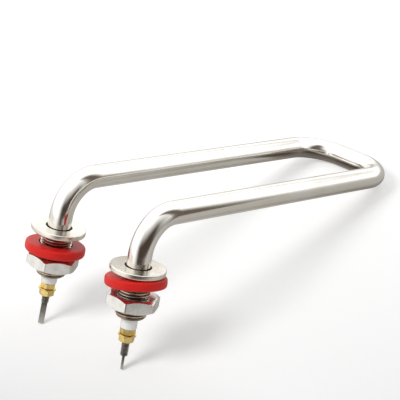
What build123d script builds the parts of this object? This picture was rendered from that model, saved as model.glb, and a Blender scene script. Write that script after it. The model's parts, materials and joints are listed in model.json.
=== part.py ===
"""Tubular heating element: a bent, sheathed U with two threaded tank fittings.

It lies as it rests on a table: on the tips of its two terminals and on the bend of its U.
X runs from the terminals to the bend, Y across the two legs and Z up. The origin is on the
table, under the middle of the whole element. Lengths are in millimetres, angles in degrees.
Stations along a leg are measured down its axis, from the axis of the arms.
"""
import os
from math import acos, atan2, cos, degrees, hypot, radians, sin, tan

from build123d import *

# Sheath: one stainless tube, bent to a U with its two ends turned down as legs.
tube_diameter = 12.0
tube_wall = 0.8
arm_length = 202.5        # axis of a leg to the axis of the crosspiece
leg_spacing = 55.0        # axis to axis of the two arms
leg_bend_radius = 19.0    # on the tube's axis
corner_radius = 20.0      # on the tube's axis
leg_length = 79.0         # axis of the arms to the tip of a terminal
sheath_end = 50.8         # station of the cut end of the tube
right_splay = 1.2         # each leg stands a little outwards of square
left_splay = 1.9

# Tank fitting: a flange and a threaded shank, turned in one piece.
flange_top = 24.9
flange_diameter = 28.0
flange_thickness = 3.0
flange_top_round = 0.5
flange_under_round = 1.1
shank_diameter = 16.0     # M16 x 1.5, over the crests
shank_grip_diameter = 15.0  # where the lock nut's thread holds it
shank_end = 51.0
shank_chamfer = 1.2
fitting_clearance = 0.05  # round the tube, all round
mouth_chamfer = 0.8       # of the bore, where the tube enters the flange

# Gasket: a silicone ring, loose on the shank, so it hangs a little askew.
gasket_diameter = 31.0
gasket_bore_clearance = 0.6
gasket_thickness = 4.9
gasket_round = 1.3
right_gasket_lean = 9.0
left_gasket_lean = 4.0
gasket_seat_gap = 0.1
right_lean_heading = 102.0  # heading, about the leg, of the side that is tipped up
left_lean_heading = 123.0

# Lock nut of the shank: hexagon, bevelled on both faces.
lock_nut_flats = 24.0
lock_nut_height = 7.0
lock_nut_face = 22.6      # diameter of the flat face inside the bevel
lock_nut_corner = 1.4     # round on its six corners
right_lock_nut_top = 39.2
left_lock_nut_top = 39.9
right_lock_nut_turn = 32.0
left_lock_nut_turn = 31.3
thread_clearance = 0.05   # between a nut and the thread in it, all round
crest_margin = 0.15       # the open thread starts this far outside a nut
mouth_clearance = 0.1     # between the open thread and the countersink of a nut
nut_bevel = 30.0          # slope of the bevel on both kinds of nut
hexagon_half_side = 30.0  # angle from the middle of a flat to a corner

# Terminal: one steel pin from the heating coil to a flattened tip outside.
stud_diameter = 4.0       # M4, over the crests
stud_grip_diameter = 3.55  # where the two nuts' threads hold it
pin_diameter = 3.4
pin_shoulder = 28.0       # the coil is pushed on above this station
coil_seat_length = 7.0
right_stud_end = 72.0
left_stud_end = 67.2
blade_width = 3.0
blade_thickness = 1.3
blade_corner = 0.3
right_blade_heading = 138.0
left_blade_heading = 48.0

# Heating coil: the room that its close turns take, as a thin tube.
coil_diameter = 5.0
coil_wire = 0.8

# End of the tube: a silicone seal and a ceramic bush behind the first nut.
seal_start = 45.6
bush_length = 8.0
bush_collar_length = 1.6
bush_nose_diameter = 8.3
bush_clearance = 0.1      # in the tube and over the stud's crests, all round
bush_round = 0.4
right_bush_end = 57.2
left_bush_end = 55.6

# Brass nuts and washer that clamp a cable lug on the stud.
brass_nut_flats = 7.0
brass_nut_height = 3.2
brass_nut_face = 6.5
brass_nut_corner = 0.3
washer_diameter = 9.0
washer_thickness = 0.8
washer_clearance = 0.15
right_inner_nut_turn = 58.5
right_outer_nut_turn = 33.0
left_inner_nut_turn = 23.0
left_outer_nut_turn = 4.0

tube_radius = tube_diameter / 2
bore_radius = tube_radius - tube_wall
shank_radius = shank_diameter / 2
stud_radius = stud_diameter / 2
pin_radius = pin_diameter / 2
coil_radius = coil_diameter / 2
coil_seat_radius = coil_radius - coil_wire

# The tilt at which a tip's lowest corner and the underside of the crosspiece are level.
tip_heading = radians(left_blade_heading)
tip_corner = blade_width / 2 * cos(tip_heading) + blade_thickness / 2 * sin(tip_heading)
tip_reach = arm_length - tip_corner
tilt = degrees(acos(tube_radius / hypot(tip_reach, leg_length)) - atan2(tip_reach, leg_length))
slope_x = cos(radians(tilt))
slope_z = sin(radians(tilt))

# The ends of the whole element, along X from the top of the legs.
bend_reach = arm_length * slope_x + tube_radius
nut_reach = (left_lock_nut_top + lock_nut_height) * slope_z + lock_nut_flats / 2 * slope_x
arms = Plane(
    origin=((nut_reach - bend_reach) / 2, 0, arm_length * slope_z + tube_radius),
    x_dir=(slope_x, 0, -slope_z),
    z_dir=(slope_z, 0, slope_x),
)


def direction(plane, x, y, z):
    """Direction in the world of these components along a plane's own axes."""
    return plane.from_local_coords(Vector(x, y, z)) - plane.origin


def leg_frame(side, splay):
    """Plane across a leg at the axis of the arms: its x follows the arms, its z the leg down."""
    down = direction(arms, 0, side * sin(radians(splay)), -cos(radians(splay)))
    origin = arms.from_local_coords(Vector(0, side * leg_spacing / 2, 0))
    return Plane(origin=origin, x_dir=arms.x_dir, z_dir=down)


right_leg = leg_frame(-1, right_splay)
left_leg = leg_frame(1, left_splay)


def centre_line(station):
    """Axis of the sheath, from this station of the right leg to the same one of the left."""
    return FilletPolyline(
        right_leg.from_local_coords(Vector(0, 0, station)),
        right_leg.origin,
        arms.from_local_coords(Vector(arm_length, -leg_spacing / 2, 0)),
        arms.from_local_coords(Vector(arm_length, leg_spacing / 2, 0)),
        left_leg.origin,
        left_leg.from_local_coords(Vector(0, 0, station)),
        radius=[leg_bend_radius, corner_radius, corner_radius, leg_bend_radius],
    )


def across(leg, station):
    """Sketch plane across a leg, facing back up it, where a sweep starts."""
    return Plane(origin=leg.from_local_coords(Vector(0, 0, station)), x_dir=leg.x_dir, z_dir=-leg.z_dir)


def section(leg, station):
    """Plane through a leg's axis: its x runs outwards and its y down the leg."""
    origin = leg.from_local_coords(Vector(0, 0, station))
    return Plane(origin=origin, x_dir=leg.x_dir, z_dir=-leg.y_dir)


def save(part, name):
    """Label a finished piece and write it as its own file."""
    part.label = name
    export_step(part, f"parts/{name}.step")


os.makedirs("parts", exist_ok=True)

# Sheath tube.
with BuildPart() as sheath_tube:
    with BuildLine():
        sheath_axis = centre_line(sheath_end)
    with BuildSketch(across(right_leg, sheath_end)):
        Circle(tube_radius)
        Circle(bore_radius, mode=Mode.SUBTRACT)
    sweep(path=sheath_axis)
save(sheath_tube.part, "sheath_tube")

# Heating coil, from the shoulder of one terminal pin to the other.
with BuildPart() as resistance_coil:
    with BuildLine():
        coil_axis = centre_line(pin_shoulder)
    with BuildSketch(across(right_leg, pin_shoulder)):
        Circle(coil_radius)
        Circle(coil_seat_radius, mode=Mode.SUBTRACT)
    sweep(path=coil_axis)
save(resistance_coil.part, "resistance_coil")

# Magnesia powder, pressed hard round the coil and inside it, up to the two seals.
with BuildPart() as magnesia_fill:
    with BuildLine():
        fill_axis = centre_line(seal_start)
    with BuildSketch(across(right_leg, seal_start)):
        Circle(bore_radius)
    sweep(path=fill_axis)
    with BuildLine():
        core_axis = centre_line(pin_shoulder)
    with BuildSketch(across(right_leg, pin_shoulder)):
        Circle(coil_radius)
        Circle(coil_seat_radius, mode=Mode.SUBTRACT)
    sweep(path=core_axis, mode=Mode.SUBTRACT)
    for leg in (right_leg, left_leg):
        with BuildSketch(leg.offset(pin_shoulder - coil_seat_length)):
            Circle(coil_seat_radius)
        extrude(amount=coil_seat_length, mode=Mode.SUBTRACT)
        with BuildSketch(leg.offset(pin_shoulder)):
            Circle(pin_radius)
        extrude(amount=seal_start - pin_shoulder, mode=Mode.SUBTRACT)
save(magnesia_fill.part, "magnesia_fill")


def terminal_pin(leg, grip_start, grip_end, stud_end, blade_heading):
    """Seat of the coil, cold pin, M4 stud and flattened tip, in one piece."""
    steps = (
        (pin_shoulder - coil_seat_length, pin_shoulder, coil_seat_radius),
        (pin_shoulder, grip_start, pin_radius),
        (grip_start, grip_end + crest_margin, stud_grip_diameter / 2),
        (grip_end + crest_margin, stud_end, stud_radius),
    )
    with BuildPart() as pin:
        for start, end, radius in steps:
            with BuildSketch(leg.offset(start)):
                Circle(radius)
            extrude(amount=end - start)
        with BuildSketch(leg.offset(stud_end)):
            Rectangle(blade_width, blade_thickness, rotation=blade_heading)
        extrude(amount=leg_length - stud_end)
        tip = pin.faces().sort_by(Axis(leg.origin, leg.z_dir))[-1]
        chamfer(tip.edges(), length=blade_corner)
    return pin.part


def tank_fitting(leg, grip_start):
    """Flange and threaded shank, turned in one piece and bored for the tube."""
    grip_end = grip_start + lock_nut_height
    down = Axis(leg.origin, leg.z_dir)
    with BuildPart() as fitting:
        with BuildSketch(leg.offset(flange_top)):
            Circle(flange_diameter / 2)
        extrude(amount=flange_thickness)
        rims = fitting.edges().filter_by(GeomType.CIRCLE).sort_by(down)
        fillet(rims[0], radius=flange_top_round)
        rims = fitting.edges().filter_by(GeomType.CIRCLE).sort_by(down)
        fillet(rims[-1], radius=flange_under_round)
        with BuildSketch(leg.offset(flange_top + flange_thickness)):
            Circle(shank_radius)
        extrude(amount=shank_end - flange_top - flange_thickness)
        chamfer(fitting.edges().filter_by(GeomType.CIRCLE).sort_by(down)[-1], length=shank_chamfer)
        with BuildSketch(leg.offset(grip_start - crest_margin)):
            Circle(shank_radius)
            Circle(shank_grip_diameter / 2, mode=Mode.SUBTRACT)
        extrude(amount=grip_end - grip_start + 2 * crest_margin, mode=Mode.SUBTRACT)
        with BuildSketch(leg.offset(flange_top)):
            Circle(tube_radius + fitting_clearance)
        extrude(amount=shank_end - flange_top, mode=Mode.SUBTRACT)
        mouth = fitting.faces().filter_by(GeomType.PLANE).sort_by(down)[0].inner_wires()[0]
        chamfer(mouth.edges(), length=mouth_chamfer)
    return fitting.part


def gasket(leg, middle, lean, heading):
    """Rounded silicone ring about this station, tipped a little on the shank."""
    tip, way = radians(lean), radians(heading)
    normal = direction(leg, sin(tip) * cos(way), sin(tip) * sin(way), cos(tip))
    tipped = Plane(origin=leg.from_local_coords(Vector(0, 0, middle)), z_dir=normal)
    with BuildPart() as ring:
        with BuildSketch(tipped.offset(-gasket_thickness / 2)):
            Circle(gasket_diameter / 2)
            Circle(shank_radius + gasket_bore_clearance, mode=Mode.SUBTRACT)
        extrude(amount=gasket_thickness)
        outer = ring.edges().filter_by(GeomType.CIRCLE).group_by(SortBy.RADIUS)[-1]
        fillet(outer, radius=gasket_round)
    return ring.part


def gasket_reach(seat_radius, lean):
    """Distance from a seat of this radius to the middle of a gasket that leans on it."""
    tip = radians(lean)
    return (gasket_thickness / 2 + seat_radius * sin(tip)) / cos(tip)


def hex_nut(leg, top, flats, height, face, corner_round, thread, bore, turn):
    """Hexagon nut that starts at this station, bevelled to a round face on both sides."""
    axis = Axis(leg.origin, leg.z_dir)
    corner = flats / 2 / cos(radians(hexagon_half_side))
    bevel = (corner - face / 2) * tan(radians(nut_bevel))
    with BuildPart() as nut:
        with BuildSketch(leg.offset(top)):
            RegularPolygon(flats / 2, 6, major_radius=False, rotation=turn)
        extrude(amount=height)
        fillet(nut.edges().filter_by(axis), radius=corner_round)
        with BuildSketch(section(leg, top)):
            Polygon(
                (0, 0),
                (face / 2, 0),
                (corner, bevel),
                (corner, height - bevel),
                (face / 2, height),
                (0, height),
                align=None,
            )
        revolve(axis=axis, mode=Mode.INTERSECT)
        with BuildSketch(leg.offset(top)):
            Circle(bore / 2 + thread_clearance)
        extrude(amount=height, mode=Mode.SUBTRACT)
        rims = nut.edges().filter_by(GeomType.CIRCLE).group_by(SortBy.RADIUS)[0]
        chamfer(rims, length=(thread - bore) / 2 - thread_clearance + mouth_clearance)
    return nut.part


def end_seal(leg, end):
    """Silicone plug in the end of the tube, round the terminal."""
    with BuildPart() as seal:
        with BuildSketch(leg.offset(seal_start)):
            Circle(bore_radius)
            Circle(pin_radius, mode=Mode.SUBTRACT)
        extrude(amount=end - seal_start)
    return seal.part


def ceramic_bush(leg, end):
    """Glazed bush: a collar that fits the tube and a nose that keeps the nuts off it."""
    start = end - bush_length
    with BuildPart() as bush:
        with BuildSketch(leg.offset(start)):
            Circle(bore_radius - bush_clearance)
        extrude(amount=bush_collar_length)
        with BuildSketch(leg.offset(start + bush_collar_length)):
            Circle(bush_nose_diameter / 2)
        extrude(amount=bush_length - bush_collar_length)
        nose = bush.edges().filter_by(GeomType.CIRCLE).sort_by(Axis(leg.origin, leg.z_dir))[-1]
        fillet(nose, radius=bush_round)
        with BuildSketch(leg.offset(start)):
            Circle(stud_radius + bush_clearance)
        extrude(amount=bush_length, mode=Mode.SUBTRACT)
    return bush.part


def lug_washer(leg, start):
    """Flat brass washer between the two nuts of a terminal."""
    with BuildPart() as washer:
        with BuildSketch(leg.offset(start)):
            Circle(washer_diameter / 2)
            Circle(stud_radius + washer_clearance, mode=Mode.SUBTRACT)
        extrude(amount=washer_thickness)
    return washer.part


def brass_nut(leg, top, turn):
    """Brass M4 nut that starts at this station."""
    return hex_nut(leg, top, brass_nut_flats, brass_nut_height, brass_nut_face, brass_nut_corner,
                   stud_diameter, stud_grip_diameter, turn)


def lock_nut(leg, top, turn):
    """Steel nut of the shank that starts at this station."""
    return hex_nut(leg, top, lock_nut_flats, lock_nut_height, lock_nut_face, lock_nut_corner,
                   shank_diameter, shank_grip_diameter, turn)


# The right gasket leans against its flange, the left one on its lock nut.
flange_seat_radius = flange_diameter / 2 - flange_under_round
right_gasket_middle = (
    flange_top + flange_thickness + gasket_seat_gap + gasket_reach(flange_seat_radius, right_gasket_lean)
)
left_gasket_middle = (
    left_lock_nut_top - gasket_seat_gap - gasket_reach(lock_nut_face / 2, left_gasket_lean)
)

sides = (
    ("right", right_leg, right_gasket_middle, right_gasket_lean, right_lean_heading,
     right_lock_nut_top, right_lock_nut_turn, right_stud_end,
     right_blade_heading, right_bush_end, right_inner_nut_turn, right_outer_nut_turn),
    ("left", left_leg, left_gasket_middle, left_gasket_lean, left_lean_heading,
     left_lock_nut_top, left_lock_nut_turn, left_stud_end,
     left_blade_heading, left_bush_end, left_inner_nut_turn, left_outer_nut_turn),
)
for (side, leg, gasket_middle, gasket_lean, lean_heading, lock_nut_top, lock_nut_turn, stud_end,
     blade_heading, bush_end, inner_turn, outer_turn) in sides:
    inner_nut_end = bush_end + brass_nut_height
    washer_end = inner_nut_end + washer_thickness
    outer_nut_end = washer_end + brass_nut_height
    save(terminal_pin(leg, bush_end, outer_nut_end, stud_end, blade_heading), f"{side}_terminal_pin")
    save(tank_fitting(leg, lock_nut_top), f"{side}_tank_fitting")
    save(gasket(leg, gasket_middle, gasket_lean, lean_heading), f"{side}_gasket")
    save(lock_nut(leg, lock_nut_top, lock_nut_turn), f"{side}_lock_nut")
    save(end_seal(leg, bush_end - bush_length), f"{side}_end_seal")
    save(ceramic_bush(leg, bush_end), f"{side}_ceramic_bush")
    save(brass_nut(leg, bush_end, inner_turn), f"{side}_inner_nut")
    save(lug_washer(leg, inner_nut_end), f"{side}_lug_washer")
    save(brass_nut(leg, washer_end, outer_turn), f"{side}_outer_nut")
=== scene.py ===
"""Tubular heating element, dressed: materials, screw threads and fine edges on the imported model."""
import json
from math import atan2, cos, degrees, pi, radians, sin, sqrt

import bmesh
import bpy
from mathutils import Matrix, Vector


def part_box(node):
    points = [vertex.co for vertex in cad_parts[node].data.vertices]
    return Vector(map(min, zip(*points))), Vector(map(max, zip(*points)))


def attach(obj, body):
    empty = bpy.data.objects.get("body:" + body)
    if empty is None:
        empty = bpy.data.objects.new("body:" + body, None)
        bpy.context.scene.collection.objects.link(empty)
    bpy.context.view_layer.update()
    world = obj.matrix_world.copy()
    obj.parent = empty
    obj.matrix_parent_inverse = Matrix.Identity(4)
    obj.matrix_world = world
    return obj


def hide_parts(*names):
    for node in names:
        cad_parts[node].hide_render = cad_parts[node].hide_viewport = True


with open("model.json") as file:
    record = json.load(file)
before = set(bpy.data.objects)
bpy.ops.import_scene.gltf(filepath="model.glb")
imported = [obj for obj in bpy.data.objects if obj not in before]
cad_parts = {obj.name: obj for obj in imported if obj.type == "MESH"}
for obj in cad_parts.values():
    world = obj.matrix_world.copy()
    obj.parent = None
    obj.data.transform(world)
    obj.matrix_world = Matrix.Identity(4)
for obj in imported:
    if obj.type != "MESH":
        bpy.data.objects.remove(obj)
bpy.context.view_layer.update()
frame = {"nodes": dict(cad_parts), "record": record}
nodes = frame["nodes"]

# Camera. It looks down over the near leg, a little rolled, through a long lens, so that both arms
# run from the legs on the left to the bend on the right.
aim = Vector((-0.0114, 0.0084, 0.0337))
camera_distance = 0.8643
camera_azimuth = radians(-45.139)
camera_elevation = radians(32.447)
camera_roll = radians(3.693)
field_of_view = radians(14.066)
nearest_drawn, farthest_drawn = 0.05, 20

back = Vector((
    sin(camera_azimuth) * cos(camera_elevation),
    -cos(camera_azimuth) * cos(camera_elevation),
    sin(camera_elevation),
))
camera = bpy.data.objects.new("camera", bpy.data.cameras.new("camera"))
bpy.context.scene.collection.objects.link(camera)
level = (-back).to_track_quat("-Z", "Y").to_matrix().to_4x4()
rolled = level @ Matrix.Rotation(-camera_roll, 4, "Z")
camera.matrix_world = Matrix.Translation(aim + back * camera_distance) @ rolled
camera.data.angle = field_of_view
camera.data.clip_start = nearest_drawn
camera.data.clip_end = farthest_drawn
bpy.context.scene.camera = camera
bpy.context.scene.view_settings.view_transform = "Standard"

# Floor. A white sheet under the element. It keeps the shadows and reads white where none falls.
# Its colour has painted shade that dims it a little towards the terminals, and the glow added for
# the camera is weaker towards the front, more painted shade. Metal mirrors it as off-white, and its
# far parts as white: painted reflections.
floor_size = 6.0
sheet_white = 0.8
# painted reflection: the sheet's colour as mirrors see it
sheet_mirrored = (0.62, 0.60, 0.56, 1)
# painted shade: the sheet's colour falls to this share of its white towards the terminals
dim_share = 0.78                        # of the white, left of dim_edge
dim_edge, full_edge = -0.17, -0.08      # where the dimming is full and where it stops, along X
into_depth = (sqrt(0.5), sqrt(0.5), 0)  # from the front of the sheet to its back
# painted shade: the glow the camera sees is weaker at the front edge than at the back
front_edge, back_edge = -0.26, 0.10     # measured that way
lift_front, lift_back = 0.06, 0.45      # added for the camera at those two
# painted reflection: a glow only mirrors see, growing between these distances
mirror_near, mirror_far = 0.10, 0.45    # measured from the middle of the sheet
mirror_lift = 0.45                      # added in mirrors at the far one

bm = bmesh.new()
bmesh.ops.create_grid(bm, x_segments=1, y_segments=1, size=floor_size / 2)
floor_mesh = bpy.data.meshes.new("floor")
bm.to_mesh(floor_mesh)
bm.free()
floor = bpy.data.objects.new("floor", floor_mesh)
bpy.context.scene.collection.objects.link(floor)

floor_paper = bpy.data.materials.new("floor_paper")
floor_paper.use_nodes = True
tree = floor_paper.node_tree
tree.nodes.clear()
paper = tree.nodes.new("ShaderNodeBsdfDiffuse")
lift = tree.nodes.new("ShaderNodeEmission")
seen = tree.nodes.new("ShaderNodeLightPath")
place = tree.nodes.new("ShaderNodeTexCoord")
depth_in = tree.nodes.new("ShaderNodeVectorMath")
depth_in.operation = "DOT_PRODUCT"
depth_in.inputs[1].default_value = into_depth
far_out = tree.nodes.new("ShaderNodeVectorMath")
far_out.operation = "LENGTH"
along_x = tree.nodes.new("ShaderNodeSeparateXYZ")


def ramp(tree, start, end, low, high):
    """Node that goes from low to high while its value goes from start to end."""
    node = tree.nodes.new("ShaderNodeMapRange")
    node.inputs["From Min"].default_value = start
    node.inputs["From Max"].default_value = end
    node.inputs["To Min"].default_value = low
    node.inputs["To Max"].default_value = high
    return node


# painted shade: the sheet's colour darkens along X towards the terminals
dim = ramp(tree, dim_edge, full_edge, dim_share * sheet_white, sheet_white)
white = tree.nodes.new("ShaderNodeMix")
white.data_type = "RGBA"
# painted reflection: mirrors see the sheet in this off-white
white.inputs["B"].default_value = sheet_mirrored
tree.links.new(place.outputs["Object"], along_x.inputs[0])
tree.links.new(along_x.outputs["X"], dim.inputs["Value"])
tree.links.new(dim.outputs["Result"], white.inputs["A"])
tree.links.new(seen.outputs["Is Glossy Ray"], white.inputs["Factor"])
tree.links.new(white.outputs["Result"], paper.inputs["Color"])
lifts = []
# painted shade and painted reflection: a glow for the camera that is weaker towards the front, and a
# glow in mirrors that grows towards the far parts of the sheet
for measure, seen_by, climb in (
    (depth_in, "Is Camera Ray", ramp(tree, front_edge, back_edge, lift_front, lift_back)),
    (far_out, "Is Glossy Ray", ramp(tree, mirror_near, mirror_far, 0, mirror_lift)),
):
    shown = tree.nodes.new("ShaderNodeMath")
    shown.operation = "MULTIPLY"
    tree.links.new(place.outputs["Object"], measure.inputs[0])
    tree.links.new(measure.outputs["Value"], climb.inputs["Value"])
    tree.links.new(climb.outputs["Result"], shown.inputs[0])
    tree.links.new(seen.outputs[seen_by], shown.inputs[1])
    lifts.append(shown)
both = tree.nodes.new("ShaderNodeMath")
total = tree.nodes.new("ShaderNodeAddShader")
out = tree.nodes.new("ShaderNodeOutputMaterial")
tree.links.new(lifts[0].outputs[0], both.inputs[0])
tree.links.new(lifts[1].outputs[0], both.inputs[1])
tree.links.new(both.outputs[0], lift.inputs["Strength"])
tree.links.new(paper.outputs[0], total.inputs[0])
tree.links.new(lift.outputs[0], total.inputs[1])
tree.links.new(total.outputs[0], out.inputs["Surface"])
floor_mesh.materials.append(floor_paper)

# Light. A white room, and one soft lamp over the terminals that throws the shadows towards the
# bend. The walls are brighter in mirrors than in the light they give: a painted highlight. Dark
# sheets that only mirrors see stand round the front for the polished metal to mirror, and a grey
# band behind: painted reflections.
room_light = 0.55
# painted highlight: the walls' strength in mirrors, above the room_light they light with
room_mirrored = 1.42
lamp_watts = 3.6
lamp_size = 0.34
lamp_distance = 0.9
shadow_drift = Vector((0.77, -0.17))   # shadow's shift along X and Y for each unit of height

room = bpy.data.worlds.new("white_room")
bpy.context.scene.world = room
room.use_nodes = True
tree = room.node_tree
tree.nodes.clear()
seen = tree.nodes.new("ShaderNodeLightPath")
wall_light = tree.nodes.new("ShaderNodeBackground")
wall_light.inputs["Strength"].default_value = room_light
wall_mirrored = tree.nodes.new("ShaderNodeBackground")
wall_mirrored.inputs["Strength"].default_value = room_mirrored
wall_seen = tree.nodes.new("ShaderNodeBackground")
mirrored = tree.nodes.new("ShaderNodeMixShader")
pick = tree.nodes.new("ShaderNodeMixShader")
out = tree.nodes.new("ShaderNodeOutputWorld")
for wall in (wall_light, wall_mirrored, wall_seen):
    wall.inputs["Color"].default_value = (1, 1, 1, 1)
tree.links.new(seen.outputs["Is Glossy Ray"], mirrored.inputs["Fac"])
tree.links.new(wall_light.outputs[0], mirrored.inputs[1])
tree.links.new(wall_mirrored.outputs[0], mirrored.inputs[2])
tree.links.new(seen.outputs["Is Camera Ray"], pick.inputs["Fac"])
tree.links.new(mirrored.outputs[0], pick.inputs[1])
tree.links.new(wall_seen.outputs[0], pick.inputs[2])
tree.links.new(pick.outputs[0], out.inputs["Surface"])

lamp_data = bpy.data.lights.new("soft_lamp", "AREA")
lamp_data.shape = "DISK"
lamp_data.size = lamp_size
lamp_data.energy = lamp_watts
lamp = bpy.data.objects.new("soft_lamp", lamp_data)
to_lamp = Vector((-shadow_drift.x, -shadow_drift.y, 1)).normalized()
lamp.location = to_lamp * lamp_distance
lamp.rotation_euler = (-to_lamp).to_track_quat("-Z", "Y").to_euler()
bpy.context.scene.collection.objects.link(lamp)
lamp.visible_glossy = False


def mirrored_only(name, bm, colour):
    """Painted reflection: a sheet that glows its colour only for mirrors, from its front; its point
    layer says how solid it is.
    """
    mesh = bpy.data.meshes.new(name)
    bm.to_mesh(mesh)
    bm.free()
    stood = bpy.data.objects.new(name, mesh)
    bpy.context.scene.collection.objects.link(stood)
    stood.visible_camera = stood.visible_diffuse = False
    stood.visible_shadow = stood.visible_transmission = False
    painted_reflection = bpy.data.materials.new(name)
    painted_reflection.use_nodes = True
    tree = painted_reflection.node_tree
    tree.nodes.clear()
    glow = tree.nodes.new("ShaderNodeEmission")
    glow.inputs["Color"].default_value = colour
    clear = tree.nodes.new("ShaderNodeBsdfTransparent")
    solid = tree.nodes.new("ShaderNodeAttribute")
    solid.attribute_name = "solid"
    rear = tree.nodes.new("ShaderNodeNewGeometry")
    front = tree.nodes.new("ShaderNodeMath")
    front.operation = "SUBTRACT"
    fade = tree.nodes.new("ShaderNodeMixShader")
    surface = tree.nodes.new("ShaderNodeOutputMaterial")
    tree.links.new(solid.outputs["Fac"], front.inputs[0])
    tree.links.new(rear.outputs["Backfacing"], front.inputs[1])
    tree.links.new(front.outputs[0], fade.inputs["Fac"])
    tree.links.new(clear.outputs[0], fade.inputs[1])
    tree.links.new(glow.outputs[0], fade.inputs[2])
    tree.links.new(fade.outputs[0], surface.inputs["Surface"])
    mesh.materials.append(painted_reflection)


curtain_steps = 24


def curtain(name, colour, centre, radius, ends, fades, heights):
    """Upright arc about centre, from one heading to another, through (height, solid) levels.

    Headings are in degrees from -Y towards +X, and it thins out over fades degrees at its ends.
    """
    bm = bmesh.new()
    solid = bm.verts.layers.float.new("solid")
    verts = []
    for height, share in heights:
        verts.append(bm.verts.new((0, -radius, height)))
        verts[-1][solid] = share
    edges = [bm.edges.new(pair) for pair in zip(verts, verts[1:])]
    start, end = ends
    first = Matrix.Rotation(radians(start), 3, "Z")
    bmesh.ops.rotate(bm, cent=(0, 0, 0), matrix=first, verts=verts)
    bmesh.ops.spin(
        bm, geom=verts + edges, axis=(0, 0, 1), angle=radians(end - start), steps=curtain_steps,
    )
    for vert in bm.verts:
        heading = degrees(atan2(vert.co.x, -vert.co.y))
        share = min((heading - start) / fades[0], (end - heading) / fades[1])
        vert[solid] *= min(1, max(0, share))
    for face in bm.faces:
        if face.normal.dot(face.calc_center_median()) > 0:
            face.normal_flip()
    bmesh.ops.translate(bm, vec=centre, verts=bm.verts)
    mirrored_only(name, bm, colour)


# Painted reflections: dark arcs that glow only for mirrors, one mirrored in the legs and one that
# stands in for shade mirrored in the bend, and a grey band mirrored along the arms.
curtain(                   # mirrored in the legs
    "painted_reflection_front", colour=(0.075, 0.056, 0.045, 1),
    centre=(-0.09, 0, 0), radius=0.19, ends=(-88, 44), fades=(30, 34),
    heights=((0, 0.5), (0.015, 0.75), (0.03, 1), (0.13, 1), (0.22, 0.6), (0.45, 0)),
)
curtain(                   # mirrored in the bend
    "painted_reflection_bend", colour=(0.15, 0.12, 0.10, 1),
    centre=(0.09, 0, 0), radius=0.15, ends=(-72, 25), fades=(42, 25),
    heights=((0, 1), (0.3, 1), (0.5, 0.6), (0.8, 0)),
)
curtain(                   # mirrored as a thin band along the arms
    "painted_reflection_band", colour=(0.42, 0.41, 0.42, 1),
    centre=(0, 0, 0), radius=0.86, ends=(70, 150), fades=(18, 18),
    heights=((0.235, 0), (0.250, 1), (0.262, 1), (0.277, 0)),
)

# Painted shade: a dark patch under the bend that only mirrors see, standing in for the shade on the
# sheet there.
shade_patch_colour = (0.07, 0.05, 0.04, 1)
shade_patch_size = (0.032, 0.046, 1)
shade_patch_middle = (0.088, 0.002, 0.0008)    # on the sheet, under the bend
shade_patch_cells = 6
shade_patch_fade = 3               # power with which it thins out towards its edges

bm = bmesh.new()
solid = bm.verts.layers.float.new("solid")
bmesh.ops.create_grid(bm, x_segments=shade_patch_cells, y_segments=shade_patch_cells, size=0.5)
for vert in bm.verts:
    vert[solid] = (1 - abs(2 * vert.co.x) ** shade_patch_fade) * (1 - abs(2 * vert.co.y) ** shade_patch_fade)
bmesh.ops.scale(bm, vec=shade_patch_size, verts=bm.verts)
bmesh.ops.translate(bm, vec=shade_patch_middle, verts=bm.verts)
mirrored_only("painted_shade_patch", bm, shade_patch_colour)

# Sheath tube. One polished stainless tube, drawn, filled and then bent cold to a long U with two
# legs turned down. Its wall is seen only at the cut ends, round the bushes.
mm = 0.001
tube_radius = 6.0 * mm
tube_wall = 0.8 * mm
arm_length = 202.5 * mm
arm_spacing = 55.0 * mm
leg_bend_radius = 19.0 * mm
corner_radius = 20.0 * mm
cut_end = 50.8 * mm        # down the leg, from the axis of the arms
flange_seat = 27.9 * mm    # underside of a flange, down the leg
tube_sides = 64
bend_steps = 24
run_step = 12 * mm         # between the rings of a straight run
draw_stretch = 25          # the draw lines are this much longer than they are wide

mounts = {mount["name"]: mount for mount in frame["record"]["mounts"]}


def leg_frame(side):
    """Matrix of a leg: origin on the axis of the arms, X along the arms, Z down the leg."""
    hole = mounts[side + "_tank_hole"]
    down = Vector(hole["axis"]).normalized()
    along = down.cross(Vector((0, 1, 0))).normalized()
    turned = Matrix((along, down.cross(along), down)).transposed().to_4x4()
    return Matrix.Translation(Vector(hole["pos_m"]) - down * flange_seat) @ turned


right_leg = leg_frame("right")
left_leg = leg_frame("left")
along_arms = right_leg.col[0].to_3d()


def turn(centre, axis, angle):
    """Rotation about a line through centre."""
    turned = Matrix.Rotation(angle, 4, axis)
    return Matrix.Translation(centre) @ turned @ Matrix.Translation(-centre)


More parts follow.
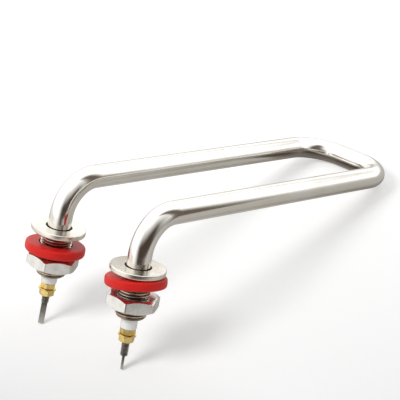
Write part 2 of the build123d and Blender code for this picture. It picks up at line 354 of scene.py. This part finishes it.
def tube_route():
    """Steps from the right cut end to the left one: each a matrix and the length it adds."""
    steps = []

    def run(heading, length):
        count = max(1, round(length / run_step))
        steps.extend([(Matrix.Translation(heading * length / count), length / count)] * count)

    def bend(centre, axis, radius):
        arc = pi / 2 / bend_steps
        steps.extend([(turn(centre, axis, arc), radius * arc)] * bend_steps)

    right_down, left_down = right_leg.col[2].to_3d(), left_leg.col[2].to_3d()
    right_in, left_in = right_leg.translation, left_leg.translation
    across = Vector((0, 1, 0))
    inset = leg_bend_radius * (along_arms + right_down)
    run(-right_down, cut_end - leg_bend_radius)
    bend(right_in + inset, (-right_down).cross(along_arms), leg_bend_radius)
    run(along_arms, arm_length - leg_bend_radius - corner_radius)
    corner = right_in + along_arms * (arm_length - corner_radius) + across * corner_radius
    bend(corner, along_arms.cross(across), corner_radius)
    run(across, arm_spacing - 2 * corner_radius)
    corner = left_in + along_arms * (arm_length - corner_radius) - across * corner_radius
    bend(corner, across.cross(-along_arms), corner_radius)
    run(-along_arms, arm_length - leg_bend_radius - corner_radius)
    inset = leg_bend_radius * (along_arms + left_down)
    bend(left_in + inset, (-along_arms).cross(left_down), leg_bend_radius)
    run(left_down, cut_end - leg_bend_radius)
    return steps


def new_piece(name, bm, replaced, material):
    """Mesh object from bm that rides with the element and stands for these nodes."""
    mesh = bpy.data.meshes.new(name)
    bm.to_mesh(mesh)
    bm.free()
    mesh.materials.append(material)
    piece = bpy.data.objects.new(name, mesh)
    bpy.context.scene.collection.objects.link(piece)
    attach(piece, "root")
    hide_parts(*replaced)
    even = piece.modifiers.new("even_shading", "WEIGHTED_NORMAL")
    even.keep_sharp = True
    return piece


bm = bmesh.new()
grain = bm.verts.layers.float_vector.new("grain")
for radius in (tube_radius, tube_radius - tube_wall):
    ring = bmesh.ops.create_circle(bm, radius=radius, segments=tube_sides)["verts"]
    for vert in ring:
        vert[grain] = (0, vert.co.x / mm, vert.co.y / mm)
    bmesh.ops.transform(bm, matrix=right_leg @ Matrix.Translation((0, 0, cut_end)), verts=ring)
    edges = list({edge for vert in ring for edge in vert.link_edges})
    walked = 0
    for step, length in tube_route():
        walked += length
        grown = bmesh.ops.extrude_edge_only(bm, edges=edges)["geom"]
        verts = [g for g in grown if isinstance(g, bmesh.types.BMVert)]
        edges = [g for g in grown if isinstance(g, bmesh.types.BMEdge) and g.is_boundary]
        bmesh.ops.transform(bm, matrix=step, verts=verts)
        for vert in verts:
            vert[grain] = (walked / draw_stretch / mm, vert[grain].y, vert[grain].z)
rims = [edge for edge in bm.edges if edge.is_boundary]
for side in (-1, 1):
    bmesh.ops.bridge_loops(bm, edges=[edge for edge in rims if edge.verts[0].co.y * side > 0])
bmesh.ops.recalc_face_normals(bm, faces=bm.faces)

for face in bm.faces:
    face.smooth = True


smudge_start, smudge_full = 0.42, 0.72     # of the noise that places the smudges
lines_start, lines_full = 0.3, 0.7         # of the noise that roughens along the lines


def new_group(name, inputs, outputs):
    """Empty shader group with named sockets, and the nodes that read and write them."""
    group = bpy.data.node_groups.new(name, "ShaderNodeTree")
    for in_out, sockets in (("INPUT", inputs), ("OUTPUT", outputs)):
        for socket, kind in sockets.items():
            group.interface.new_socket(socket, in_out=in_out, socket_type="NodeSocket" + kind)
    return group, group.nodes.new("NodeGroupInput"), group.nodes.new("NodeGroupOutput")


def marks_group():
    """Tooling lines along the grain, and broad smudges from handling, both from 0 to 1."""
    group, given, result = new_group(
        "metal_marks",
        {"Grain": "Vector", "Place": "Vector", "Lines per mm": "Float", "Smudge scale": "Float"},
        {"Lines": "Float", "Smudge": "Float"},
    )
    lines = group.nodes.new("ShaderNodeTexNoise")
    lines.inputs["Detail"].default_value = 3
    smudge = group.nodes.new("ShaderNodeTexNoise")
    smudge.inputs["Detail"].default_value = 5
    smudge.inputs["Roughness"].default_value = 0.62
    spread = ramp(group, smudge_start, smudge_full, 0, 1)
    link = group.links.new
    link(given.outputs["Grain"], lines.inputs["Vector"])
    link(given.outputs["Lines per mm"], lines.inputs["Scale"])
    link(given.outputs["Place"], smudge.inputs["Vector"])
    link(given.outputs["Smudge scale"], smudge.inputs["Scale"])
    link(smudge.outputs[0], spread.inputs["Value"])
    link(lines.outputs[0], result.inputs["Lines"])
    link(spread.outputs[0], result.inputs["Smudge"])
    return group


metal_marks = marks_group()


def metal(name, colour, stain, painted_hollow_shade, roughness, spread, lines_per_mm, line_height, smudge_scale):
    """Worked metal: tooling lines, stained where it was handled, and dark with painted shade deep in
    its threads and hollows.
    """
    material = bpy.data.materials.new(name)
    material.use_nodes = True
    tree = material.node_tree
    link = tree.links.new
    shader = tree.nodes["Principled BSDF"]
    shader.inputs["Metallic"].default_value = 1
    grain = tree.nodes.new("ShaderNodeAttribute")
    grain.attribute_name = "grain"
    depth = tree.nodes.new("ShaderNodeAttribute")
    depth.attribute_name = "depth"
    place = tree.nodes.new("ShaderNodeTexCoord")
    marks = tree.nodes.new("ShaderNodeGroup")
    marks.node_tree = metal_marks
    marks.inputs["Lines per mm"].default_value = lines_per_mm
    marks.inputs["Smudge scale"].default_value = smudge_scale
    stained = tree.nodes.new("ShaderNodeMix")
    stained.data_type = "RGBA"
    stained.inputs["A"].default_value = (*colour, 1)
    stained.inputs["B"].default_value = (*stain, 1)
    # painted shade: the hollow colour where the depth layer says a point lies deep
    deep = tree.nodes.new("ShaderNodeMix")
    deep.data_type = "RGBA"
    deep.inputs["B"].default_value = (*painted_hollow_shade, 1)
    gloss = ramp(tree, lines_start, lines_full, roughness, roughness + spread)
    bump = tree.nodes.new("ShaderNodeBump")
    bump.inputs["Distance"].default_value = line_height
    link(grain.outputs["Vector"], marks.inputs["Grain"])
    link(place.outputs["Object"], marks.inputs["Place"])
    link(marks.outputs["Smudge"], stained.inputs["Factor"])
    link(stained.outputs["Result"], deep.inputs["A"])
    link(depth.outputs["Fac"], deep.inputs["Factor"])
    link(deep.outputs["Result"], shader.inputs["Base Color"])
    link(marks.outputs["Lines"], gloss.inputs["Value"])
    link(gloss.outputs["Result"], shader.inputs["Roughness"])
    link(marks.outputs["Lines"], bump.inputs["Height"])
    link(bump.outputs["Normal"], shader.inputs["Normal"])
    return material


tube_steel = metal(
    "stainless_tube",
    colour=(0.81, 0.79, 0.75), stain=(0.75, 0.71, 0.65), painted_hollow_shade=(0.3, 0.25, 0.2),
    roughness=0.12, spread=0.05, lines_per_mm=2.2, line_height=0.0015 * mm, smudge_scale=45,
)
new_piece("bent_tube", bm, ["sheath_tube"], tube_steel)

# Tank fittings. Each is turned from one steel bar: a flange that bears on the tank, and a shank
# with an M16 x 1.5 thread. The tube is brazed into its bore.
flange_top = 24.9 * mm
flange_radius = 14.0 * mm
flange_top_round = 0.5 * mm
flange_under_round = 1.1 * mm
mouth_radius = 6.85 * mm   # of the recess round the tube, in the flange's top
mouth_depth = 1.6 * mm
mouth_taper = 0.15 * mm
bore_radius = 6.05 * mm
shank_radius = 8.0 * mm
shank_end = 51.0 * mm
shank_chamfer = 1.2 * mm
shank_pitch = 1.5 * mm
shank_grip_radius = 7.5 * mm
lock_nut_height = 7.0 * mm
lock_nut_top = {"right": 39.2 * mm, "left": 39.9 * mm}
thread_depth = 0.61        # of one pitch
flank_end, crest_start, crest_end = 0.25, 0.5625, 0.6875   # stations of the profile in one pitch
grip_inset = 0.25 * mm     # the full thread runs this far into a nut's countersink
same_spot = 0.002 * mm     # points closer than this are merged
cut_slack = 0.0005 * mm    # points this close to a cutting plane lie on it
# painted shade darkens the mouth and the bore from mouth_rim down
mouth_rim = 0.1 * mm       # the mouth is dark from this far below the flange's top
legs = {"right": right_leg, "left": left_leg}


def thread(bm, crest, pitch, start, end, sides):
    """Open 60 degree thread about Z between two stations, trimmed square at both."""
    root = crest - thread_depth * pitch
    shape = ((root, 0), (root, flank_end), (crest, crest_start), (crest, crest_end), (root, 1))
    verts = [bm.verts.new((radius, 0, start + (share - 1) * pitch)) for radius, share in shape]
    edges = [bm.edges.new(pair) for pair in zip(verts, verts[1:])]
    turns = int((end - start) / pitch) + 3
    bmesh.ops.spin(
        bm, geom=verts + edges, cent=(0, 0, 0), axis=(0, 0, 1), dvec=(0, 0, pitch / sides),
        angle=2 * pi * turns, steps=turns * sides,
    )
    bmesh.ops.remove_doubles(bm, verts=bm.verts, dist=same_spot)
    for station, way in ((start, -1), (end, 1)):
        bmesh.ops.bisect_plane(
            bm, geom=bm.verts[:] + bm.edges[:] + bm.faces[:], plane_co=(0, 0, station),
            plane_no=(0, 0, way), dist=cut_slack, clear_outer=True,
        )


def turn_down(bm, limit):
    """Bring every point in to the largest radius allowed at its station."""
    for vert in bm.verts:
        most = limit(vert.co.z)
        reach = vert.co.xy.length
        if reach > most:
            vert.co.x *= most / reach
            vert.co.y *= most / reach


def lathe(bm, outline, sides):
    """Surface turned about Z from (radius, station) points."""
    verts = [bm.verts.new((radius, 0, station)) for radius, station in outline]
    edges = [bm.edges.new(pair) for pair in zip(verts, verts[1:])]
    bmesh.ops.spin(
        bm, geom=verts + edges, cent=(0, 0, 0), axis=(0, 0, 1), angle=2 * pi, steps=sides,
        use_merge=True,
    )
    bmesh.ops.remove_doubles(bm, verts=bm.verts, dist=same_spot)


def rounded(corner, radius, start, steps=6):
    """Quarter circle of outline points about corner, from this angle in degrees."""
    angles = [radians(start + 90 * step / steps) for step in range(steps + 1)]
    return [(corner[0] + radius * cos(angle), corner[1] + radius * sin(angle)) for angle in angles]


def close_rings(bm):
    """Flat faces over the rings of open edges that lie on one station."""
    rims = [edge for edge in bm.edges if edge.is_boundary]
    for station in {round(edge.verts[0].co.z / mm, 2) for edge in rims}:
        level = [edge for edge in rims if round(edge.verts[0].co.z / mm, 2) == station]
        bmesh.ops.triangle_fill(bm, edges=level, use_beauty=True, normal=(0, 0, 1))


def mark_grain(bm, to_leg, crest=0, depth=1, start=0, end=0, sunk_ring=0):
    """Store the radius and station of each point, and how much painted shade it takes: more the
    deeper it lies in the thread, and all of it inside the mouth.
    """
    grain = bm.verts.layers.float_vector.new("grain")
    sunk = bm.verts.layers.float.new("depth")
    for vert in bm.verts:
        spot = to_leg @ vert.co
        vert[grain] = (spot.xy.length / mm, spot.z / mm, 0)
        if start < spot.z < end:
            vert[sunk] = min(max((crest - spot.xy.length) / depth, 0), 1)
        elif spot.xy.length < sunk_ring and spot.z > flange_top + mouth_rim:
            vert[sunk] = 1


def soften(bm, angle=35):
    """Smooth shading, with edges kept sharp above this angle in degrees."""
    bmesh.ops.recalc_face_normals(bm, faces=bm.faces)
    for face in bm.faces:
        face.smooth = True
    for edge in bm.edges:
        edge.smooth = len(edge.link_faces) == 2 and edge.calc_face_angle() < radians(angle)


fitting_steel = metal(
    "fitting_steel",
    colour=(0.82, 0.79, 0.73), stain=(0.70, 0.63, 0.54), painted_hollow_shade=(0.16, 0.09, 0.05),
    roughness=0.17, spread=0.12, lines_per_mm=5, line_height=0.010 * mm, smudge_scale=90,
)
straight = Matrix.Identity(4)     # for a piece still standing at the origin
for side, leg in legs.items():
    grip_start = lock_nut_top[side] + grip_inset
    grip_end = lock_nut_top[side] + lock_nut_height - grip_inset

    def shank_limit(station):
        """Radius of the shank: held in inside the nut and chamfered at its end."""
        if grip_start < station < grip_end:
            return shank_grip_radius
        return min(shank_radius, shank_radius - shank_chamfer + shank_end - station)

    bm = bmesh.new()
    thread(bm, shank_radius, shank_pitch, flange_seat, shank_end, sides=48)
    turn_down(bm, shank_limit)
    under = (flange_radius - flange_under_round, flange_seat - flange_under_round)
    over = (flange_radius - flange_top_round, flange_top + flange_top_round)
    lathe(bm, [
        (bore_radius, shank_end), (bore_radius, flange_top + mouth_depth),
        (mouth_radius - mouth_taper, flange_top + mouth_depth), (mouth_radius, flange_top),
        *rounded(over, flange_top_round, -90), *rounded(under, flange_under_round, 0),
    ], sides=96)
    close_rings(bm)
    mark_grain(
        bm, straight, crest=shank_radius, depth=thread_depth * shank_pitch,
        start=flange_seat, end=shank_end, sunk_ring=mouth_radius,
    )
    soften(bm)
    bmesh.ops.transform(bm, matrix=leg, verts=bm.verts)
    new_piece(
        side + "_threaded_fitting", bm, [side + "_tank_fitting"], fitting_steel,
    )

# Gaskets. Moulded rings of red silicone, with a thin parting line round the middle. They are a
# little wide for the shank, so each lies loose on it and leans.
gasket_radius = 15.4 * mm
gasket_bore = 8.6 * mm
gasket_half = 2.45 * mm
gasket_round = 1.3 * mm
bore_bevel = 0.3 * mm
parting_flash = 0.1 * mm
flash_half = 0.15 * mm
gasket_lean = {"right": radians(9), "left": radians(4)}
lean_heading = {"right": radians(102), "left": radians(123)}


def mottle_group():
    """Cloud from 0 to 1, with a colour between two and a roughness between two that follow it."""
    group, given, result = new_group(
        "mottle",
        {"Place": "Vector", "Scale": "Float", "Detail": "Float", "Thin": "Color", "Full": "Color",
         "Smoothest": "Float", "Roughest": "Float"},
        {"Cloud": "Float", "Colour": "Color", "Roughness": "Float"},
    )
    cloud = group.nodes.new("ShaderNodeTexNoise")
    shade = group.nodes.new("ShaderNodeMix")
    shade.data_type = "RGBA"
    dull = group.nodes.new("ShaderNodeMapRange")
    link = group.links.new
    link(given.outputs["Place"], cloud.inputs["Vector"])
    link(given.outputs["Scale"], cloud.inputs["Scale"])
    link(given.outputs["Detail"], cloud.inputs["Detail"])
    link(given.outputs["Thin"], shade.inputs["A"])
    link(given.outputs["Full"], shade.inputs["B"])
    link(given.outputs["Smoothest"], dull.inputs["To Min"])
    link(given.outputs["Roughest"], dull.inputs["To Max"])
    link(cloud.outputs[0], shade.inputs["Factor"])
    link(cloud.outputs[0], dull.inputs["Value"])
    link(cloud.outputs[0], result.inputs["Cloud"])
    link(shade.outputs["Result"], result.inputs["Colour"])
    link(dull.outputs["Result"], result.inputs["Roughness"])
    return group


mottle = mottle_group()


def mottled(name, thin, full, smoothest, roughest, scale, detail, skin_height):
    """Moulded, fired or pressed stuff, cloudy in colour and gloss, with a fine uneven skin."""
    material = bpy.data.materials.new(name)
    material.use_nodes = True
    tree = material.node_tree
    link = tree.links.new
    shader = tree.nodes["Principled BSDF"]
    place = tree.nodes.new("ShaderNodeTexCoord")
    cloud = tree.nodes.new("ShaderNodeGroup")
    cloud.node_tree = mottle
    cloud.inputs["Scale"].default_value = scale
    cloud.inputs["Detail"].default_value = detail
    cloud.inputs["Thin"].default_value = (*thin, 1)
    cloud.inputs["Full"].default_value = (*full, 1)
    cloud.inputs["Smoothest"].default_value = smoothest
    cloud.inputs["Roughest"].default_value = roughest
    skin = tree.nodes.new("ShaderNodeBump")
    skin.inputs["Distance"].default_value = skin_height
    link(place.outputs["Object"], cloud.inputs["Place"])
    link(cloud.outputs["Colour"], shader.inputs["Base Color"])
    if smoothest < roughest:
        link(cloud.outputs["Roughness"], shader.inputs["Roughness"])
    else:
        shader.inputs["Roughness"].default_value = roughest
    link(cloud.outputs["Cloud"], skin.inputs["Height"])
    link(skin.outputs["Normal"], shader.inputs["Normal"])
    return material


red_silicone = mottled(
    "red_silicone", thin=(0.60, 0.008, 0.006), full=(0.74, 0.020, 0.014),
    smoothest=0.28, roughest=0.48, scale=160, detail=4, skin_height=0.02 * mm,
)
tree = red_silicone.node_tree
shader = tree.nodes["Principled BSDF"]
shader.inputs["Specular IOR Level"].default_value = 0.28
shader.inputs["Subsurface Weight"].default_value = 0.12
shader.inputs["Subsurface Radius"].default_value = (0.9 * mm, 0.2 * mm, 0.15 * mm)
dust = tree.nodes.new("ShaderNodeTexNoise")    # fine dust, instead of the cloud, makes the skin
dust.inputs["Scale"].default_value = 1400
tree.links.new(tree.nodes["Texture Coordinate"].outputs["Object"], dust.inputs["Vector"])
tree.links.new(dust.outputs[0], tree.nodes["Bump"].inputs["Height"])

for side, leg in legs.items():
    low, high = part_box(side + "_gasket")
    heading = Vector((cos(lean_heading[side]), sin(lean_heading[side]), 0))
    lean = Matrix.Rotation(gasket_lean[side], 4, Vector((0, 0, 1)).cross(heading))
    inner, outer = gasket_bore + bore_bevel, gasket_radius - gasket_round
    bm = bmesh.new()
    lathe(bm, [
        (gasket_bore, 0), (gasket_bore, bore_bevel - gasket_half), (inner, -gasket_half),
        *rounded((outer, gasket_round - gasket_half), gasket_round, -90),
        (gasket_radius, -flash_half), (gasket_radius + parting_flash, 0),
        (gasket_radius, flash_half),
        *rounded((outer, gasket_half - gasket_round), gasket_round, 0),
        (inner, gasket_half), (gasket_bore, gasket_half - bore_bevel), (gasket_bore, 0),
    ], sides=96)
    soften(bm, angle=50)
    seat = leg.to_3x3().to_4x4() @ lean
    bmesh.ops.transform(bm, matrix=Matrix.Translation((low + high) / 2) @ seat, verts=bm.verts)
    new_piece(side + "_silicone_gasket", bm, [side + "_gasket"], red_silicone)

# Lock nuts. Cold-formed steel hexagons with a dull nickel plate. Each is screwed up the shank by
# hand, and clamps the tank wall and the gasket against the flange.
nut_edge = 0.25 * mm
shared_corner = 0.005 * mm     # corners of neighbouring triangles lie within this
same_face = radians(0.6)       # triangles within this angle make one face
sharp_from = radians(20)       # an edge that turns more than this is rounded over


def eased_copy(node, leg, width):
    """The CAD piece with its sharp edges rounded over, as tumbling and plating leave them."""
    bm = bmesh.new()
    bm.from_mesh(nodes[node].data)
    bmesh.ops.remove_doubles(bm, verts=bm.verts, dist=shared_corner)
    bmesh.ops.dissolve_limit(bm, angle_limit=same_face, verts=bm.verts, edges=bm.edges)
    sharp = [e for e in bm.edges if len(e.link_faces) == 2 and e.calc_face_angle() > sharp_from]
    bmesh.ops.bevel(
        bm, geom=sharp, offset=width, offset_type="OFFSET", segments=2, profile=0.5,
        affect="EDGES", clamp_overlap=True, material=-1,
    )
    mark_grain(bm, leg.inverted())
    soften(bm)
    return bm


plated_steel = metal(
    "plated_steel",
    colour=(0.84, 0.84, 0.82), stain=(0.66, 0.65, 0.63), painted_hollow_shade=(0.2, 0.2, 0.2),
    roughness=0.15, spread=0.12, lines_per_mm=3, line_height=0.004 * mm, smudge_scale=220,
)
for side, leg in legs.items():
    bm = eased_copy(side + "_lock_nut", leg, nut_edge)
    new_piece(side + "_plated_nut", bm, [side + "_lock_nut"], plated_steel)

# Ceramic bushes. Pressed and fired steatite with a thin glaze. Each holds its stud clear of the
# tube's end, with a collar inside the tube.
bush_edge = 0.12 * mm

glazed_white = mottled(
    "glazed_white", thin=(0.84, 0.83, 0.80), full=(0.90, 0.90, 0.88),
    smoothest=0.3, roughest=0.5, scale=400, detail=4, skin_height=0.015 * mm,
)
shader = glazed_white.node_tree.nodes["Principled BSDF"]
shader.inputs["Coat Weight"].default_value = 0.5
shader.inputs["Coat Roughness"].default_value = 0.12
for side, leg in legs.items():
    bm = eased_copy(side + "_ceramic_bush", leg, bush_edge)
    new_piece(side + "_glazed_bush", bm, [side + "_ceramic_bush"], glazed_white)

# Terminals. Steel pins that lead the current to the wire inside. Each has a rolled M4
# thread for the lug nuts, and its tip is pressed flat.
stud_radius = 2.0 * mm
stud_pitch = 0.7 * mm
stud_grip_radius = 1.775 * mm
stud_chamfer = 0.35 * mm
pin_radius = 1.7 * mm
pin_start = 21.0 * mm
core_radius = 1.5 * mm
blade_half_width = 1.5 * mm
blade_half_thickness = 0.65 * mm
blade_root = 1.2 * mm      # buried in the stud
blade_bevel = 0.22 * mm
thread_lead = 1.0 * mm     # the thread starts this far inside the bush
pin_neck = 0.5 * mm        # taper from the pin down to the thread's core
nut_cover = 0.1 * mm       # the last nut covers the held part of the stud by this much
tip_station = 79.0 * mm
stud_end = {"right": 72.0 * mm, "left": 67.2 * mm}
bush_end = {"right": 57.2 * mm, "left": 55.6 * mm}
nut_stack = 7.2 * mm       # two nuts and the washer
blade_heading = {"right": radians(138), "left": radians(48)}

terminal_steel = metal(
    "terminal_steel",
    colour=(0.62, 0.63, 0.60), stain=(0.42, 0.38, 0.33), painted_hollow_shade=(0.07, 0.055, 0.045),
    roughness=0.26, spread=0.16, lines_per_mm=4, line_height=0.012 * mm, smudge_scale=260,
)
for side, leg in legs.items():
    thread_start = bush_end[side] - thread_lead
    thread_end = stud_end[side]
    grip_end = bush_end[side] + nut_stack - nut_cover

    def stud_limit(station):
        """Radius of the stud: held in inside the nuts and chamfered at its end."""
        if station < grip_end:
            return stud_grip_radius
        return min(stud_radius, stud_radius - stud_chamfer + thread_end - station)

    bm = bmesh.new()
    thread(bm, stud_radius, stud_pitch, thread_start, thread_end, sides=40)
    turn_down(bm, stud_limit)
    lathe(bm, [
        (0, pin_start), (pin_radius, pin_start), (pin_radius, thread_start - pin_neck),
        (core_radius, thread_start),
    ], sides=40)
    bmesh.ops.remove_doubles(bm, verts=bm.verts, dist=same_spot)
    close_rings(bm)
    blade = bmesh.ops.create_cube(bm, size=1)["verts"]
    length = tip_station - thread_end + blade_root
    bmesh.ops.scale(bm, vec=(2 * blade_half_width, 2 * blade_half_thickness, length), verts=blade)
    bmesh.ops.translate(bm, vec=(0, 0, tip_station - length / 2), verts=blade)
    blade_edges = list({edge for vert in blade for edge in vert.link_edges})
    bmesh.ops.bevel(
        bm, geom=blade_edges, offset=blade_bevel, offset_type="OFFSET", segments=3, profile=0.5,
        affect="EDGES", clamp_overlap=True, material=-1,
    )
    mark_grain(
        bm, straight, crest=stud_radius, depth=thread_depth * stud_pitch,
        start=thread_start, end=thread_end,
    )
    soften(bm)
    spun = Matrix.Rotation(blade_heading[side], 4, "Z")
    bmesh.ops.transform(bm, matrix=leg @ spun, verts=bm.verts)
    new_piece(
        side + "_threaded_pin", bm, [side + "_terminal_pin"], terminal_steel,
    )

# Lug nuts and washers. Hexagons turned from brass bar, and washers punched from brass sheet. They
# clamp the supply lug on the stud.
brass_edge = 0.12 * mm
lug_brass = metal(
    "lug_brass",
    colour=(0.86, 0.66, 0.26), stain=(0.62, 0.42, 0.13), painted_hollow_shade=(0.2, 0.12, 0.04),
    roughness=0.2, spread=0.14, lines_per_mm=5, line_height=0.010 * mm, smudge_scale=330,
)
for side, leg in legs.items():
    for part in ("inner_nut", "outer_nut", "lug_washer"):
        bm = eased_copy(f"{side}_{part}", leg, brass_edge)
        new_piece(f"{side}_brass_{part}", bm, [f"{side}_{part}"], lug_brass)

# Inside the tube. A resistance wire wound to a coil, in magnesia powder that is pressed hard when
# the tube is drawn down. A silicone plug shuts each end.
grit_height = 0.05 * mm
for fill, thin, full, roughness, scale, used_by in (
    ("pressed_magnesia", (0.76, 0.75, 0.70), (0.88, 0.87, 0.83), 0.9, 900, ["magnesia_fill"]),
    ("resistance_wire", (0.30, 0.29, 0.28), (0.46, 0.45, 0.43), 0.4, 1500, ["resistance_coil"]),
    ("seal_silicone", (0.70, 0.70, 0.66), (0.80, 0.80, 0.77), 0.6, 500,
     ["right_end_seal", "left_end_seal"]),
):
    material = mottled(fill, thin, full, roughness, roughness, scale, 2, grit_height)
    for node in used_by:
        nodes[node].data.materials.clear()
        nodes[node].data.materials.append(material)
wire = bpy.data.materials["resistance_wire"].node_tree.nodes["Principled BSDF"]
wire.inputs["Metallic"].default_value = 1
